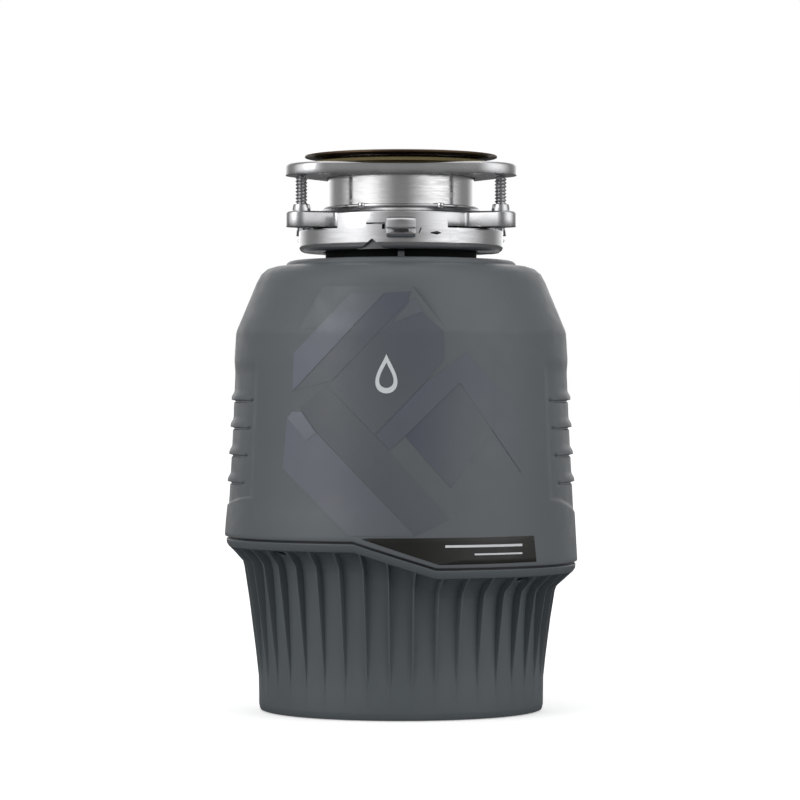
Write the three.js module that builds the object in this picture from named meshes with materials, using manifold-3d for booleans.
// Kitchen food waste disposer with its under-sink mount, as separate solids.
// Millimetres, +Z up, origin at the centre of the base, front towards -Y.
// Azimuths are in degrees from the front, positive towards +X.
import * as THREE from 'three';
import { mergeVertices } from 'three/addons/utils/BufferGeometryUtils.js';
import Module from 'manifold-3d';

const wasm = await Module();
wasm.setup();

// Driving dimensions
const GAP = 0.3;                 // clearance between pieces that touch
const RIBS = 40;
const UPPER_FACETS = 40;
const LOWER_FACETS = 2 * RIBS;
const COVER_WALL = 3;
const SEAM_LOW = 83;             // top of the lower cover on the right-hand side
const SEAM_STEP = 14.3;          // how much higher the seam runs on the left-hand side
const SEAM_GAP = 1.4;
const RAMP_START = -15.2;        // azimuths between which the seam climbs
const RAMP_END = 11.1;
const FLARE_RADIUS = 99.4;
const BEND_HEIGHT = 69.5;        // where the ribbed wall turns out into the flare
const RIB_DEPTH = 2.2;
const FLOOR = 3.5;               // thickness of the lower cover's floor
const COVER_SCREW_RADIUS = 93.4;
const COVER_SCREW_AZIMUTHS = [-47, 47, 133, -133];

const NECK_RADIUS = 38.5;        // clear radius of the hopper's neck
const CHAMBER_RADIUS = 67.5;     // inside of the grinding chamber
const CHAMBER_WALL = 3.5;
const CHAMBER_FLOOR = 118;
const CHAMBER_JOINT = 176;       // where the hopper meets the drain housing
const LIP_BOTTOM = 264.2;
const LIP_TOP = 267.5;

const OUTLET_HEIGHT = 144;
const OUTLET_BORE = 19;
const INLET_HEIGHT = 218;
const INLET_AZIMUTH = 150;
const INLET_BORE = 8.5;
const INLET_RADIUS = 11;
const INLET_END = 98;            // distance of the inlet tube's end from the axis

const SHAFT_RADIUS = 6.35;
const BEARING_RADIUS = 13.7;
const STATOR_BOTTOM = 49;
const STATOR_TOP = 93;
const STATOR_RADIUS = 68;
const STATOR_BORE = 35.6;
const THROUGH_BOLT_RADIUS = 71.5;
const END_BELL_BOTTOM = 26;

const TURNTABLE_RADIUS = 61.5;
const TURNTABLE_BOTTOM = 160;
const TURNTABLE_TOP = 163;
const LUG_PIVOT_RADIUS = 42;
const LUG_REACH = 19.5;

const SLEEVE_RADIUS = 41.5;      // outside of the sink sleeve
const SLEEVE_BORE = 39.5;
const SLEEVE_BOTTOM = 272.5;
const FLANGE_RADIUS = 54.5;
const FLANGE_UNDERSIDE = 313.7;
const TOP = 315.3;
const EAR_AZIMUTHS = [-60, 60, 180];
const TAB_AZIMUTHS = [0, 120, -120];
const EAR_RADIUS = 8;
const SCREW_CIRCLE = 64.5;
const SCREW_RADIUS = 3.2;
const RING_BOTTOM = 272.6;
const EAR_TOP = 281.6;
const PLATE_BOTTOM = 301.8;
const PLATE_TOP = 308.8;
const LOCK_WALL_OUT = 58.2;
const LOCK_WALL_IN = 56.2;
const LOCK_BOTTOM = 259.6;
const LOCK_TOP = 271.6;
const LOCK_TAB_TOP = 280;

// Materials
const finish = (color, roughness, metalness = 0) =>
  new THREE.MeshStandardMaterial({ color, roughness, metalness });
const shellGrey = finish(0x63666b, 0.45);
const coverGrey = finish(0x474d51, 0.5);
const badgeBlack = finish(0x211f1d, 0.4);
const rubber = finish(0x151618, 0.8);
const satinSteel = finish(0xa9abad, 0.35, 1);
const castMetal = finish(0xb4b6b8, 0.45, 1);
const stainless = finish(0x9c9184, 0.2, 1);
const darkScrew = finish(0x3a3b3d, 0.5, 1);
const copper = finish(0xa65c2e, 0.4, 1);
const lamination = finish(0x585a5c, 0.5, 1);
const foam = finish(0xd8d6cf, 0.95);
const fibre = finish(0x6b5138, 0.9);
const moulded = finish(0x2a2c30, 0.5);
const resetRed = finish(0x9c1f1a, 0.4);

// Geometry helpers
const radians = THREE.MathUtils.degToRad;
const polar = (radius, azimuth) => [
  radius * Math.sin(radians(azimuth)),
  -radius * Math.cos(radians(azimuth)),
];

function signedArea(points) {
  return points.reduce((sum, [x, y], i) => {
    const [nextX, nextY] = points[(i + 1) % points.length];
    return sum + x * nextY - nextX * y;
  }, 0) / 2;
}

// A closed [radius, height] outline turned round the Z axis.
function turned(outline, segments = 24) {
  const points = signedArea(outline) > 0 ? [...outline] : [...outline].reverse();
  const loop = [...points, points[0]].map(([x, y]) => new THREE.Vector2(x, y));
  return new THREE.LatheGeometry(loop, segments).rotateX(Math.PI / 2);
}

const ring = (inner, outer, low, high, segments = 24) =>
  turned([[inner, low], [outer, low], [outer, high], [inner, high]], segments);

function rod(radius, low, high, x = 0, y = 0, segments = 20) {
  const geometry = new THREE.CylinderGeometry(radius, radius, high - low, segments);
  return geometry.rotateX(Math.PI / 2).translate(x, y, (low + high) / 2);
}

// A cylinder lying along an azimuth, between two distances from the axis.
function spoke(radius, near, far, height, azimuth, segments = 24) {
  const geometry = new THREE.CylinderGeometry(radius, radius, far - near, segments);
  return geometry.translate(0, -(near + far) / 2, 0)
    .rotateZ(radians(azimuth)).translate(0, 0, height);
}

function block(x0, x1, y0, y1, z0, z1) {
  return new THREE.BoxGeometry(x1 - x0, y1 - y0, z1 - z0)
    .translate((x0 + x1) / 2, (y0 + y1) / 2, (z0 + z1) / 2);
}

function prism(shape, low, high, curveSegments = 12) {
  const options = { depth: high - low, bevelEnabled: false, curveSegments };
  return new THREE.ExtrudeGeometry(shape, options).translate(0, 0, low);
}

// An [x, z] outline pushed through the front of the object, from y = -near to y = -far.
function frontPrism(outline, near, far) {
  const shape = new THREE.Shape(outline.map(([x, z]) => new THREE.Vector2(x, z)));
  return prism(shape, near, far).rotateX(Math.PI / 2);
}

function sector(inner, outer, azimuthFrom, azimuthTo, low, high) {
  const from = radians(azimuthFrom - 90);
  const to = radians(azimuthTo - 90);
  const shape = new THREE.Shape();
  shape.absarc(0, 0, outer, from, to, false);
  shape.absarc(0, 0, inner, to, from, true);
  return prism(shape, low, high, 4);
}

// Adds a wall's inner line to its outer line, which runs upwards.
function walled(outer, thickness) {
  const inner = outer.map(([x, y], i) => {
    const before = outer[Math.max(i - 1, 0)];
    const after = outer[Math.min(i + 1, outer.length - 1)];
    const along = new THREE.Vector2(after[0] - before[0], after[1] - before[1]).normalize();
    return [x - along.y * thickness, y + along.x * thickness];
  });
  return [...outer, ...inner.reverse()];
}

// Moves every vertex by a rule that takes and gives radius, azimuth and height.
function reshaped(geometry, rule) {
  const place = geometry.attributes.position;
  for (let i = 0; i < place.count; i += 1) {
    const radius = Math.hypot(place.getX(i), place.getY(i));
    const azimuth = THREE.MathUtils.radToDeg(Math.atan2(place.getX(i), -place.getY(i)));
    const [newRadius, newHeight] = rule(radius, azimuth, place.getZ(i));
    const [x, y] = polar(newRadius, azimuth);
    place.setXYZ(i, x, y, newHeight);
  }
  return geometry;
}

function merged(geometry) {
  geometry.deleteAttribute('normal');
  geometry.deleteAttribute('uv');
  const whole = mergeVertices(geometry, 1e-4);
  const corners = whole.index.array;
  const kept = [];
  for (let i = 0; i < corners.length; i += 3) {
    const [a, b, c] = [corners[i], corners[i + 1], corners[i + 2]];
    if (a !== b && b !== c && c !== a) kept.push(a, b, c);
  }
  whole.setIndex(kept);
  return whole;
}

function solid(geometry) {
  const whole = merged(geometry);
  return new wasm.Manifold(new wasm.Mesh({
    numProp: 3,
    vertProperties: new Float32Array(whole.attributes.position.array),
    triVerts: new Uint32Array(whole.index.array),
  }));
}

function geometryOf(shape) {
  const mesh = shape.getMesh();
  const geometry = new THREE.BufferGeometry();
  geometry.setAttribute('position', new THREE.BufferAttribute(mesh.vertProperties, 3));
  geometry.setIndex(new THREE.BufferAttribute(mesh.triVerts, 1));
  return geometry;
}

// A base geometry with others joined to it and then others cut from it.
function carved(base, joined, cut) {
  let shape = solid(base);
  for (const piece of joined) shape = shape.add(solid(piece));
  for (const piece of cut) shape = shape.subtract(solid(piece));
  return geometryOf(shape);
}

const overlap = (first, second) => geometryOf(solid(first).intersect(solid(second)));

const object = new THREE.Group();

function add(name, geometry, material) {
  const mesh = new THREE.Mesh(geometry.index ? geometry : merged(geometry), material);
  mesh.name = name;
  object.add(mesh);
  return mesh;
}

// How far the seam is raised at an azimuth: the ramp on the front is mirrored at the back.
function seamRise(azimuth) {
  const mirrored = Math.abs(azimuth) > 90 ? Math.sign(azimuth) * 180 - azimuth : azimuth;
  const climb = (RAMP_END - mirrored) / (RAMP_END - RAMP_START);
  return SEAM_STEP * THREE.MathUtils.clamp(climb, 0, 1);
}

// Upper shell: a straight, slightly tapered wall, a cone and a flat top with a round hole.
function upperShell() {
  const bottom = SEAM_LOW + SEAM_GAP;
  const fade = 125;
  const outer = [
    [100.4, bottom], [99, 112], [95.8, 174.5], [93.9, 214.4], [88.1, 228],
    [81.4, 244], [76.1, 250], [66, 252.3], [63, 255.9], [43.4, 257.2],
  ];
  const wall = reshaped(turned(walled(outer, COVER_WALL), UPPER_FACETS), (radius, azimuth, height) => {
    const share = THREE.MathUtils.clamp((fade - height) / (fade - bottom), 0, 1);
    return [radius, height + seamRise(azimuth) * share];
  });
  const shieldOutline = [[-58, 213], [25, 213], [5.7, 238], [-42.7, 238]];
  const shieldCone = turned([[92.2, 213], [93.9, 213.4], [89.5, 238], [82.6, 238]], UPPER_FACETS);
  const shield = geometryOf(solid(shieldCone).intersect(solid(frontPrism(shieldOutline, 50, 110))));
  const bosses = COVER_SCREW_AZIMUTHS.map((azimuth) => {
    const low = bottom + seamRise(azimuth);
    return rod(4.4, low, low + 16, ...polar(COVER_SCREW_RADIUS, azimuth), 12);
  });
  const pilots = COVER_SCREW_AZIMUTHS.map((azimuth) => {
    const low = bottom + seamRise(azimuth);
    return rod(2.3, low - 1, low + 12, ...polar(COVER_SCREW_RADIUS, azimuth), 8);
  });
  const holes = [
    spoke(26, 60, 110, OUTLET_HEIGHT, 180),
    ...DISCHARGE_BOLTS.map((x) => spoke(7, 60, 110, OUTLET_HEIGHT, 180, 16).translate(x, 0, 0)),
    spoke(INLET_RADIUS + 1.3, 70, 110, INLET_HEIGHT, INLET_AZIMUTH),
    badgeSolid(98.9, 103, 0.35),
  ];
  return carved(wall, [shield, ...bosses], [...pilots, ...holes]);
}

// The badge strip lies in a shallow pocket above the seam, its lower edge along the ramp.
function badgeSolid(inner, outer, margin) {
  const outline = [
    [-23 - 7 * margin, 100.3 + margin], [22 - 0.15 * margin, 87.2 - margin],
    [76 + margin, 87.2 - margin], [76 + margin, 100.3 + margin],
  ];
  return overlap(ring(inner, outer, 80, 110, UPPER_FACETS), frontPrism(outline, 50, 110));
}

// Lower cover: a cup with a flared rim and forty ribs that fade out above the base.
function lowerCover() {
  const outer = [
    [77.5, 0], [80.6, 3], [81.1, 19], [82.5, 32], [85.1, 52],
    [88, BEND_HEIGHT], [FLARE_RADIUS, SEAM_LOW - 2.5], [FLARE_RADIUS, SEAM_LOW],
  ];
  const inner = [
    [FLARE_RADIUS - COVER_WALL, SEAM_LOW], [84.2, BEND_HEIGHT + 1.5], [81.2, 52],
    [77.6, 22], [76.6, FLOOR], [12, FLOOR], [12, 0],
  ];
  const cup = reshaped(turned([...outer, ...inner], LOWER_FACETS), (radius, azimuth, height) => {
    const rise = seamRise(azimuth);
    const lift = THREE.MathUtils.smoothstep(height, 20, BEND_HEIGHT - 2);
    const widen = height > 40 && height < 75 ? 0.12 * rise * lift : 0;
    const isGroove = Math.round((azimuth * RIBS) / 180) % 2 === 0;
    const onRibs = radius > 80 && height > 10 && height < BEND_HEIGHT + 1 && isOutside(radius, height);
    const depth = onRibs && isGroove ? RIB_DEPTH * THREE.MathUtils.smoothstep(height, 6, 60) : 0;
    return [radius + widen - depth, height + rise * lift];
  });
  const holes = COVER_SCREW_AZIMUTHS.flatMap((azimuth) => {
    const [x, y] = polar(COVER_SCREW_RADIUS, azimuth);
    const rise = seamRise(azimuth);
    return [rod(4.1, 55 + rise, 77.5 + rise, x, y, 12), rod(2.4, 60 + rise, 90 + rise, x, y, 8)];
  });
  const resetHole = rod(5, -1, FLOOR + 1, ...RESET_PLACE, 20);
  const glandHole = rod(11, -1, FLOOR + 1, ...GLAND_PLACE, 24);
  return carved(cup, [], [...holes, resetHole, glandHole]);
}

// Tells the lower cover's outer line from its inner line, which lies about 4 mm further in.
function isOutside(radius, height) {
  return radius > THREE.MathUtils.lerp(78.8, 85.6, height / BEND_HEIGHT);
}

const RESET_PLACE = [34, -26];
const GLAND_PLACE = [0, 54];

function coverScrew(azimuth) {
  const [x, y] = polar(COVER_SCREW_RADIUS, azimuth);
  const seat = 77.2 + seamRise(azimuth);
  return carved(rod(3.8, seat - 2, seat, x, y, 12), [rod(1.9, seat - 1, seat + 17, x, y, 8)], []);
}

function addCovers() {
  add('upper_shell', upperShell(), shellGrey);
  add('lower_cover', lowerCover(), coverGrey);
  add('badge_strip', badgeSolid(99.2, 100.1, 0), badgeBlack);
  COVER_SCREW_AZIMUTHS.forEach((azimuth, i) => {
    add(`cover_screw_${i + 1}`, coverScrew(azimuth), darkScrew);
  });
}

// Hopper: the upper half of the grinding chamber, its neck, lip and a hole for the inlet tube.
function hopper() {
  const wall = 2.2;
  const body = turned([
    [CHAMBER_RADIUS, CHAMBER_JOINT + GAP], [CHAMBER_RADIUS + 3, CHAMBER_JOINT + GAP],
    [CHAMBER_RADIUS + 3, 230], [62, 238], [NECK_RADIUS + wall, 250],
    [NECK_RADIUS + wall, LIP_BOTTOM], [52, LIP_BOTTOM], [52, LIP_TOP], [NECK_RADIUS, LIP_TOP],
    [NECK_RADIUS, 248.4], [60.5, 235], [CHAMBER_RADIUS, 228.5],
  ], 32);
  const hole = spoke(INLET_RADIUS + GAP, 50, 100, INLET_HEIGHT, INLET_AZIMUTH, 24);
  return carved(body, [], [hole]);
}

// Dishwasher inlet: a tube brazed into the hopper's wall.
function inletTube() {
  const tube = spoke(INLET_RADIUS, 64, INLET_END, INLET_HEIGHT, INLET_AZIMUTH, 24);
  return carved(tube, [], [spoke(INLET_BORE, 50, 100, INLET_HEIGHT, INLET_AZIMUTH, 24)]);
}

// Drain housing: the chamber's lower half with the upper bearing's hub and the outlet stub.
function drainHousing() {
  const out = CHAMBER_RADIUS + CHAMBER_WALL;
  const floor = CHAMBER_FLOOR + 6;
  const ledge = 156 - GAP;
  const body = turned([
    [14, 110], [18, 110], [18, CHAMBER_FLOOR], [76, CHAMBER_FLOOR], [76, floor], [out, floor],
    [out, CHAMBER_JOINT], [CHAMBER_RADIUS, CHAMBER_JOINT], [CHAMBER_RADIUS, ledge],
    [65.4, ledge], [65.4, ledge - 3], [CHAMBER_RADIUS, ledge - 5], [CHAMBER_RADIUS, floor],
    [19, floor], [18, 136], [14, 136],
  ], 32);
  const stub = spoke(OUTLET_BORE + 4, CHAMBER_RADIUS + 1, 94.5, OUTLET_HEIGHT, 180);
  const bore = spoke(OUTLET_BORE, 50, 100, OUTLET_HEIGHT, 180);
  const boltHoles = throughBoltPlaces().map(([x, y]) => rod(2.4, 110, 130, x, y, 8));
  const flangeHoles = DISCHARGE_BOLTS.map((x) =>
    spoke(2.3, 80, 100, OUTLET_HEIGHT, 180, 12).translate(x, 0, 0));
  const pads = DISCHARGE_BOLTS.map((x) =>
    spoke(5, 60, 94.5, OUTLET_HEIGHT, 180, 16).translate(x, 0, 0));
  const chamber = rod(CHAMBER_RADIUS - 0.01, floor, CHAMBER_JOINT - 8, 0, 0, 32);
  return carved(body, [stub, ...pads], [bore, chamber, ...flangeHoles, ...boltHoles]);
}

const DISCHARGE_BOLTS = [-26, 26];

function throughBoltPlaces() {
  return [45, 135, 225, 315].map((azimuth) => polar(THROUGH_BOLT_RADIUS, azimuth));
}

// Shredder ring: a toothed stationary ring round the turntable.
function shredderRing() {
  const teeth = 16;
  const shape = new THREE.Shape().absarc(0, 0, CHAMBER_RADIUS - 0.8, 0, 2 * Math.PI, false);
  const hole = new THREE.Path();
  for (let i = 0; i < teeth; i += 1) {
    const step = (2 * Math.PI) / teeth;
    const radii = [63, 63, 65.4, 65.4];
    radii.forEach((radius, k) => {
      const angle = (i + k / 4) * step;
      const x = radius * Math.cos(angle);
      const y = radius * Math.sin(angle);
      if (i + k === 0) hole.moveTo(x, y);
      else hole.lineTo(x, y);
    });
  }
  hole.closePath();
  shape.holes.push(hole);
  return prism(shape, 156, 190, 20);
}

function dischargeFlange(low, high, plateHalf) {
  const radius = OUTLET_BORE + 5;
  const outline = new THREE.Shape();
  outline.absarc(plateHalf, 0, 6, -Math.PI / 2.6, Math.PI / 2.6, false);
  outline.absarc(0, 0, radius, Math.PI / 2.6, Math.PI - Math.PI / 2.6, false);
  outline.absarc(-plateHalf, 0, 6, Math.PI - Math.PI / 2.6, Math.PI + Math.PI / 2.6, false);
  outline.absarc(0, 0, radius, Math.PI + Math.PI / 2.6, 2 * Math.PI - Math.PI / 2.6, false);
  outline.holes.push(new THREE.Path().absarc(0, 0, OUTLET_BORE, 0, 2 * Math.PI, false));
  for (const x of DISCHARGE_BOLTS) {
    outline.holes.push(new THREE.Path().absarc(x, 0, 2.6, 0, 2 * Math.PI, false));
  }
  return prism(outline, -high, -low, 5).rotateX(Math.PI / 2).translate(0, 0, OUTLET_HEIGHT);
}

function addChamber() {
  add('hopper', hopper(), stainless);
  add('inlet_tube', inletTube(), stainless);
  add('drain_housing', drainHousing(), castMetal);
  add('shredder_ring', shredderRing(), stainless);
  add('clamp_band', ring(CHAMBER_RADIUS + 3.9, 75, CHAMBER_JOINT - 7, CHAMBER_JOINT + 8, 32),
    satinSteel);
  const jacket = turned([[71.4, 186], [87.5, 186], [87.5, 212], [79, 234], [72, 234]]);
  const tubeHole = spoke(INLET_RADIUS + 0.5, 50, 100, INLET_HEIGHT, INLET_AZIMUTH, 24);
  add('insulation_jacket', carved(jacket, [], [tubeHole]), foam);
  add('neck_isolator', turned([
    [41, 250.9], [48, 250.9], [48, 253.3], [42.8, 253.3], [42.8, LIP_BOTTOM - GAP],
    [41, LIP_BOTTOM - GAP],
  ], 32), rubber);
  add('dishwasher_plug', spoke(INLET_BORE - GAP, 80, 83, INLET_HEIGHT, INLET_AZIMUTH, 24), moulded);
  add('discharge_gasket', dischargeFlange(94.9, 96.6, 26), rubber);
  add('discharge_flange', dischargeFlange(96.9, 98.7, 26), castMetal);
  DISCHARGE_BOLTS.forEach((x, i) => {
    const head = spoke(4, 98.8, 100.4, OUTLET_HEIGHT, 180, 6).translate(x, 0, 0);
    const shank = spoke(2, 84, 99, OUTLET_HEIGHT, 180, 12).translate(x, 0, 0);
    add(`discharge_bolt_${i + 1}`, carved(head, [shank], []), satinSteel);
  });
}

// Stator core: a slotted lamination stack.
function statorCore() {
  const slots = 18;
  const shape = new THREE.Shape().absarc(0, 0, STATOR_RADIUS, 0, 2 * Math.PI, false);
  const hole = new THREE.Path();
  for (let i = 0; i < slots; i += 1) {
    const corners = [[0, STATOR_BORE], [0.35, STATOR_BORE], [0.35, 48], [1, 48]];
    corners.forEach(([share, radius], k) => {
      const angle = ((i + share + 0.3) * 2 * Math.PI) / slots;
      const x = radius * Math.cos(angle);
      const y = radius * Math.sin(angle);
      if (i + k === 0) hole.moveTo(x, y);
      else hole.lineTo(x, y);
    });
  }
  hole.closePath();
  shape.holes.push(hole);
  return prism(shape, STATOR_BOTTOM, STATOR_TOP, 16);
}

function winding(low, high) {
  return turned([
    [43, low + 3], [46, low], [59, low], [63, low + 4], [63, high - 4], [59, high], [46, high],
    [43, high - 3],
  ]);
}

function lowerEndBell() {
  const body = turned([
    [14, 15], [18, 15], [18, END_BELL_BOTTOM], [75, END_BELL_BOTTOM], [75, 30], [14, 30],
  ], 32);
  const holes = throughBoltPlaces().map(([x, y]) => rod(2.4, 20, 35, x, y, 8));
  return carved(body, [], holes);
}

function throughBolt(x, y) {
  const seat = END_BELL_BOTTOM - GAP;
  return carved(rod(3.4, seat - 3, seat, x, y, 6), [rod(2, seat - 1, 123, x, y, 8)], []);
}

function addMotor() {
  add('motor_sleeve', ring(STATOR_RADIUS + GAP, 69.2, 30.4, CHAMBER_FLOOR - GAP, 32), satinSteel);
  add('stator_core', statorCore(), lamination);
  add('winding_lower', winding(33, STATOR_BOTTOM - GAP), copper);
  add('winding_upper', winding(STATOR_TOP + GAP, 109), copper);
  add('lower_end_bell', lowerEndBell(), castMetal);
  add('bearing_lower', ring(SHAFT_RADIUS + GAP, BEARING_RADIUS, 17, 27, 24), satinSteel);
  add('bearing_upper', ring(SHAFT_RADIUS + GAP, BEARING_RADIUS, 111, 121, 24), satinSteel);
  add('shaft_seal', ring(SHAFT_RADIUS + GAP, BEARING_RADIUS, 121.5, 133, 24), rubber);
  throughBoltPlaces().forEach(([x, y], i) => {
    add(`through_bolt_${i + 1}`, throughBolt(x, y), satinSteel);
  });
}

// Electrical parts in the bottom of the lower cover.
function addElectrics() {
  const capacitor = new THREE.CylinderGeometry(10, 10, 52, 24).rotateZ(Math.PI / 2);
  add('start_capacitor', capacitor.translate(0, -46, 14.2), moulded);
  add('start_relay', block(-62, -32, -20, 6, 4, 20), moulded);
  const [resetX, resetY] = RESET_PLACE;
  const half = { x: 14, y: 10 };
  add('overload_protector', block(resetX - half.x, resetX + half.x, resetY - half.y,
    resetY + half.y, 15.8, 24), moulded);
  add('reset_button', turned([
    [0.001, 0.6], [3.6, 0.6], [4.4, 1.4], [4.4, 8], [6.2, 8], [6.2, 12], [0.001, 12],
  ], 16).translate(resetX, resetY, 0), resetRed);
  add('terminal_block', block(-20, 20, 22, 36, 4, 14), moulded);
  const [glandX, glandY] = GLAND_PLACE;
  add('power_gland', turned([
    [6.5, 0.4], [10.6, 0.4], [10.6, FLOOR + GAP], [13, FLOOR + GAP], [13, 7], [9, 11], [6.5, 11],
  ], 24).translate(glandX, glandY, 0), moulded);
}

// Everything that turns with the shaft.
function addRotor() {
  const pivots = [-LUG_PIVOT_RADIUS, LUG_PIVOT_RADIUS];
  add('shaft', rod(SHAFT_RADIUS, 16, 176), satinSteel);
  add('rotor_core', ring(SHAFT_RADIUS + GAP, 35, STATOR_BOTTOM + 0.5, STATOR_TOP - 0.5), lamination);
  const hexagon = rod(3.75, 0, 30, 0, 0, 6);
  add('wrench_socket', carved(rod(8, 5, 15.7), [], [hexagon]), satinSteel);
  const disc = turned([
    [SHAFT_RADIUS + GAP, 150], [11, 150], [11, TURNTABLE_BOTTOM], [TURNTABLE_RADIUS, TURNTABLE_BOTTOM],
    [TURNTABLE_RADIUS, TURNTABLE_TOP], [11, TURNTABLE_TOP], [11, 166], [SHAFT_RADIUS + GAP, 166],
  ], 32);
  const drains = [30, 90, 150, 210, 270, 330].filter((azimuth) => azimuth % 180 !== 90)
    .map((azimuth) => rod(3, 150, 170, ...polar(50, azimuth), 8));
  const pins = pivots.map((x) => rod(3.3, 150, 170, x, 0, 12));
  add('turntable', carved(disc, [], [...drains, ...pins]), stainless);
  const nutBore = rod(SHAFT_RADIUS + GAP, 160, 180);
  add('turntable_nut', carved(rod(10.4, 166.3, 174, 0, 0, 6), [], [nutBore]), satinSteel);
  pivots.forEach((x, i) => {
    const rivet = turned([
      [0.001, 157.4], [5, 157.4], [5, 159.7], [3, 159.7], [3, 167.3], [5.5, 167.3], [5.5, 169.5],
      [0.001, 169.5],
    ], 12);
    add(`lug_rivet_${i + 1}`, rivet.translate(x, 0, 0), satinSteel);
    add(`grinding_lug_${i + 1}`, grindingLug(x), stainless);
  });
}

// A swivelling lug: a flat bar on its rivet, with a raised hammer at the outer end.
function grindingLug(pivotX) {
  const outward = Math.sign(pivotX);
  const halfWidth = 7;
  const shape = new THREE.Shape();
  shape.absarc(LUG_REACH - halfWidth, 0, halfWidth, -Math.PI / 2, Math.PI / 2, false);
  shape.absarc(-6, 0, halfWidth, Math.PI / 2, 1.5 * Math.PI, false);
  const bar = prism(shape, TURNTABLE_TOP + GAP, 167, 4);
  const hammerBlock = block(8, 30, -10, 10, 166, 178);
  const hammer = overlap(hammerBlock, rod(LUG_REACH - 0.4, 160, 178, 0, 0, 24));
  const trim = overlap(hammer, block(0, 30, -halfWidth, halfWidth, 160, 180));
  const hole = rod(3.3, 160, 170, 0, 0, 12);
  return carved(bar, [trim], [hole]).rotateZ(outward > 0 ? 0 : Math.PI).translate(pivotX, 0, 0);
}

// An outline of a plate with three broad lobes joined by straight tangents.
function lobedOutline(baseRadius, lobeRadius, lobeCircle) {
  const spread = Math.acos((baseRadius - lobeRadius) / lobeCircle);
  const shape = new THREE.Shape();
  [...EAR_AZIMUTHS].sort((a, b) => a - b).forEach((azimuth) => {
    const [x, y] = polar(lobeCircle, azimuth);
    const angle = radians(azimuth - 90);
    shape.absarc(x, y, lobeRadius, angle - spread, angle + spread, false);
    shape.absarc(0, 0, baseRadius, angle + spread, angle + radians(120) - spread, false);
  });
  return shape;
}

// An ear: a bar with a round end that carries one mounting screw.
function ear(azimuth) {
  const shape = new THREE.Shape();
  shape.absarc(SCREW_CIRCLE, 0, EAR_RADIUS, -Math.PI / 2, Math.PI / 2, false);
  shape.lineTo(47, EAR_RADIUS);
  shape.lineTo(47, -EAR_RADIUS);
  shape.closePath();
  return prism(shape, RING_BOTTOM, EAR_TOP, 5).rotateZ(radians(azimuth - 90));
}

function mountingRing() {
  const body = turned([
    [42.3, RING_BOTTOM], [53, RING_BOTTOM], [53, 280], [46, 280], [46, 283.3], [42.3, 283.3],
  ], 32);
  const bayonets = TAB_AZIMUTHS.map((azimuth) =>
    sector(51, 55.5, azimuth - 39, azimuth - 22, RING_BOTTOM, 277.8));
  const collars = EAR_AZIMUTHS.map((azimuth) =>
    rod(4.35, EAR_TOP - 1, 285.5, ...polar(SCREW_CIRCLE, azimuth), 16));
  const holes = EAR_AZIMUTHS.map((azimuth) =>
    rod(SCREW_RADIUS + GAP, 260, 290, ...polar(SCREW_CIRCLE, azimuth), 16));
  return carved(body, [...EAR_AZIMUTHS.map(ear), ...bayonets, ...collars], holes);
}

function mountingScrew(azimuth) {
  const [x, y] = polar(SCREW_CIRCLE, azimuth);
  const slot = block(x - 5, x + 5, y - 0.6, y + 0.6, 270, 272.6);
  return carved(rod(SCREW_RADIUS, 271.4, PLATE_BOTTOM - GAP, x, y, 16), [], [slot]);
}

// Lock ring: a turned-in bottom flange, a wall, and three raised parts that hook inwards.
function lockRing() {
  const body = turned([
    [44.8, LOCK_BOTTOM], [54.8, LOCK_BOTTOM], [57.2, LOCK_BOTTOM + 1], [LOCK_WALL_OUT, LOCK_BOTTOM + 3.4],
    [LOCK_WALL_OUT, LOCK_TOP], [LOCK_WALL_IN, LOCK_TOP], [LOCK_WALL_IN, 262.6], [44.8, 262.6],
  ], 32);
  const raised = TAB_AZIMUTHS.flatMap((azimuth) => [
    sector(LOCK_WALL_IN, LOCK_WALL_OUT, azimuth - 37, azimuth + 26, LOCK_TOP - 1, LOCK_TAB_TOP),
    sector(53.4, LOCK_WALL_IN + 0.5, azimuth - 37, azimuth - 24, 278.1, LOCK_TAB_TOP),
  ]);
  return carved(body, raised, []);
}

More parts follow.
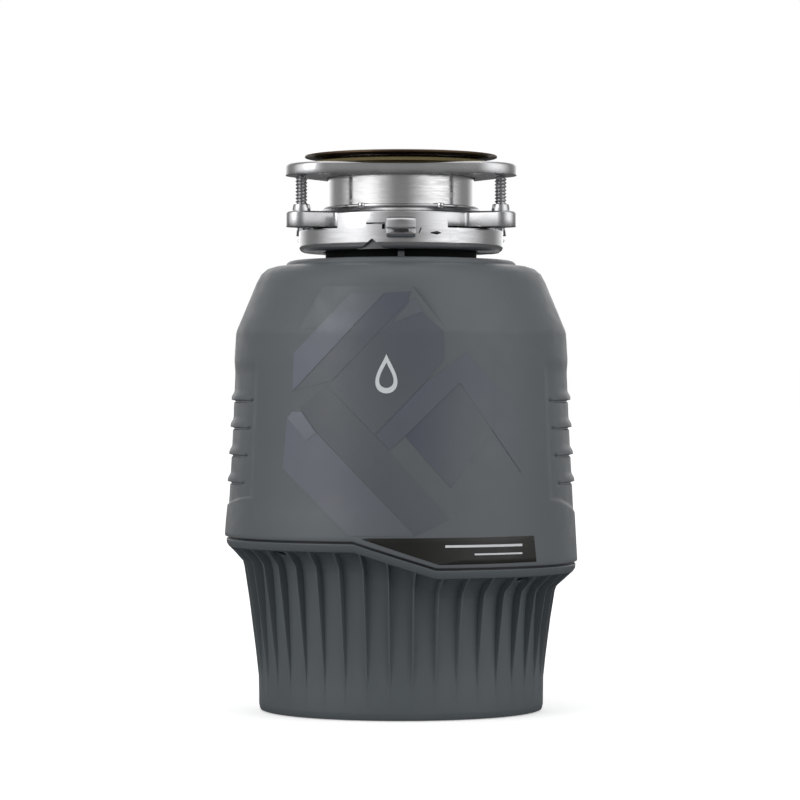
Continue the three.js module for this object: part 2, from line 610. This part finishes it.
// A rolled sleeve on the lock ring's wall that takes the end of a wrench.
function wrenchSleeve(azimuth) {
  const length = 16;
  const tube = ring(3.4, 5.6, -length / 2, length / 2, 16);
  return tube.rotateY(Math.PI / 2).translate(0, -(LOCK_WALL_OUT + GAP + 5.6), 271.3)
    .rotateZ(radians(azimuth));
}

// A rubber cup whose floor is slit into flaps.
function splashBaffle() {
  const cup = turned([
    [35.8, 262], [38, 264], [38, 286], [39.1, 287], [39.1, 289], [36.4, 289], [35.8, 266.5],
    [9, 264.5], [9, 262.3],
  ], 24);
  const slits = [0, 60, 120].map((angle) =>
    block(-29, 29, -1.1, 1.1, 255, 270).rotateZ(radians(angle)));
  return carved(cup, [], slits);
}

function addMount() {
  add('sink_flange', turned([
    [SLEEVE_RADIUS, SLEEVE_BOTTOM], [SLEEVE_RADIUS, 308.5], [44.4, 312.4], [46, FLANGE_UNDERSIDE],
    [FLANGE_RADIUS, FLANGE_UNDERSIDE], [FLANGE_RADIUS, 314.6], [53.4, TOP], [44.6, 314.4],
    [SLEEVE_BORE, 308.8], [SLEEVE_BORE, SLEEVE_BOTTOM],
  ], 36), stainless);
  add('fibre_gasket', ring(46, 50.5, PLATE_TOP + GAP, 311), fibre);
  const plate = prism(lobedOutline(49.5, 24, 47.5), PLATE_BOTTOM, PLATE_TOP, 6);
  const plateBore = rod(SLEEVE_RADIUS + 0.8, 300, 310, 0, 0, 36);
  add('backup_plate', carved(plate, [], [plateBore]), castMetal);
  const gapInRing = block(-3, 3, 35, 50, 280, 290);
  add('snap_ring', carved(ring(41.9, 44.5, 283.6, 285.4, 36), [], [gapInRing]), satinSteel);
  add('mounting_ring', mountingRing(), castMetal);
  EAR_AZIMUTHS.forEach((azimuth, i) => {
    add(`mounting_screw_${i + 1}`, mountingScrew(azimuth), satinSteel);
  });
  add('mounting_gasket', ring(39, 51, LIP_TOP + GAP, RING_BOTTOM - 0.4), rubber);
  add('lock_ring', lockRing(), satinSteel);
  TAB_AZIMUTHS.forEach((azimuth, i) => {
    add(`wrench_sleeve_${i + 1}`, wrenchSleeve(azimuth), satinSteel);
  });
  add('splash_baffle', splashBaffle(), rubber);
}

addCovers();
addChamber();
addMotor();
addElectrics();
addRotor();
addMount();

export default object;
